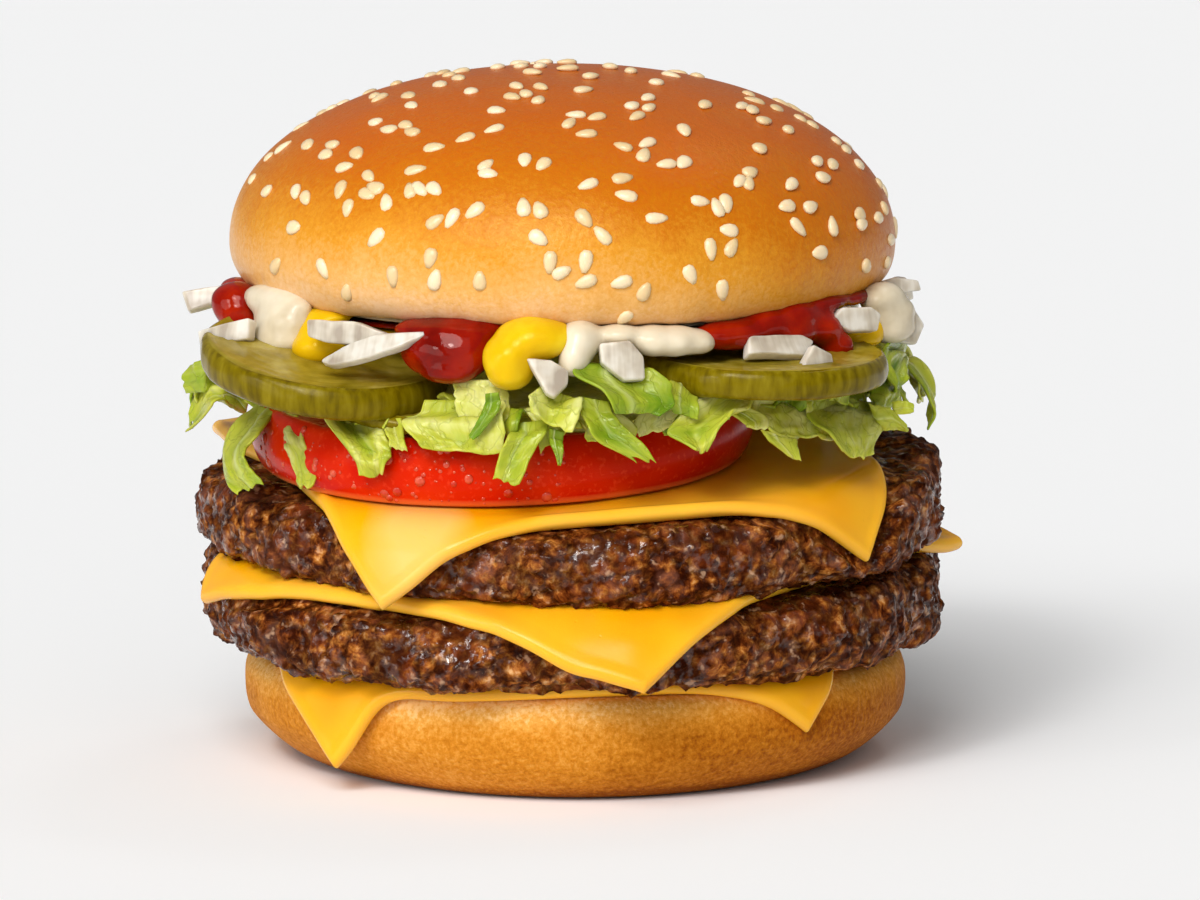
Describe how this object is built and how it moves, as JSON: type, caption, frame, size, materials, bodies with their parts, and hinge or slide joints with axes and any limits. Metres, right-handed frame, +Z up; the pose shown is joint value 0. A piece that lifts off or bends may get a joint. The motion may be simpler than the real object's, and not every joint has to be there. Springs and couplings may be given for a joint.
{
  "type": "cheeseburger",
  "caption": "Double cheeseburger in a seeded bun, with beef patties, cheese, tomato, shredded lettuce, pickles, diced onion, ketchup, mayonnaise and mustard.",
  "frame": {"origin": "on the flat underside of the bottom bun, on the axis of the stack, where the burger stands on a surface", "axes": "+Z up through the stack, -Y the front, +X to the right as seen from the front"},
  "size_m": [0.1214, 0.1167, 0.105],
  "materials": {
    "crust": "baked, glossy on top",
    "heel_crust": "baked, dull",
    "sesame": "smooth",
    "beef": "grilled, craggy and moist",
    "cheese": "smooth, semi-gloss",
    "tomato": "wet skin",
    "lettuce": "crisp leaf, translucent",
    "pickle": "wet",
    "onion": "wet, translucent",
    "ketchup": "wet gloss",
    "mayonnaise": "smooth, semi-gloss",
    "mustard": "smooth, semi-gloss",
    "water": "clear drops"
  },
  "bodies": {
    "root": {"bun_heel": "heel_crust", "cheese_lower": "cheese", "patty_lower": "beef", "cheese_middle": "cheese", "patty_upper": "beef", "cheese_upper": "cheese", "tomato_slice": "tomato", "lettuce": "lettuce", "pickle_front_left": "pickle", "pickle_front_right": "pickle", "pickle_back_left": "pickle", "pickle_back_right": "pickle", "pickle_front_left_lower": "pickle", "onion_01": "onion", "onion_02": "onion", "onion_03": "onion", "onion_04": "onion", "onion_05": "onion", "onion_06": "onion", "onion_07": "onion", "onion_08": "onion", "onion_09": "onion", "onion_10": "onion", "onion_11": "onion", "onion_12": "onion", "onion_13": "onion", "onion_14": "onion", "onion_15": "onion", "ketchup": "ketchup", "mayonnaise": "mayonnaise", "mustard": "mustard", "bun_crown": "crust"}
  },
  "joints": []
}
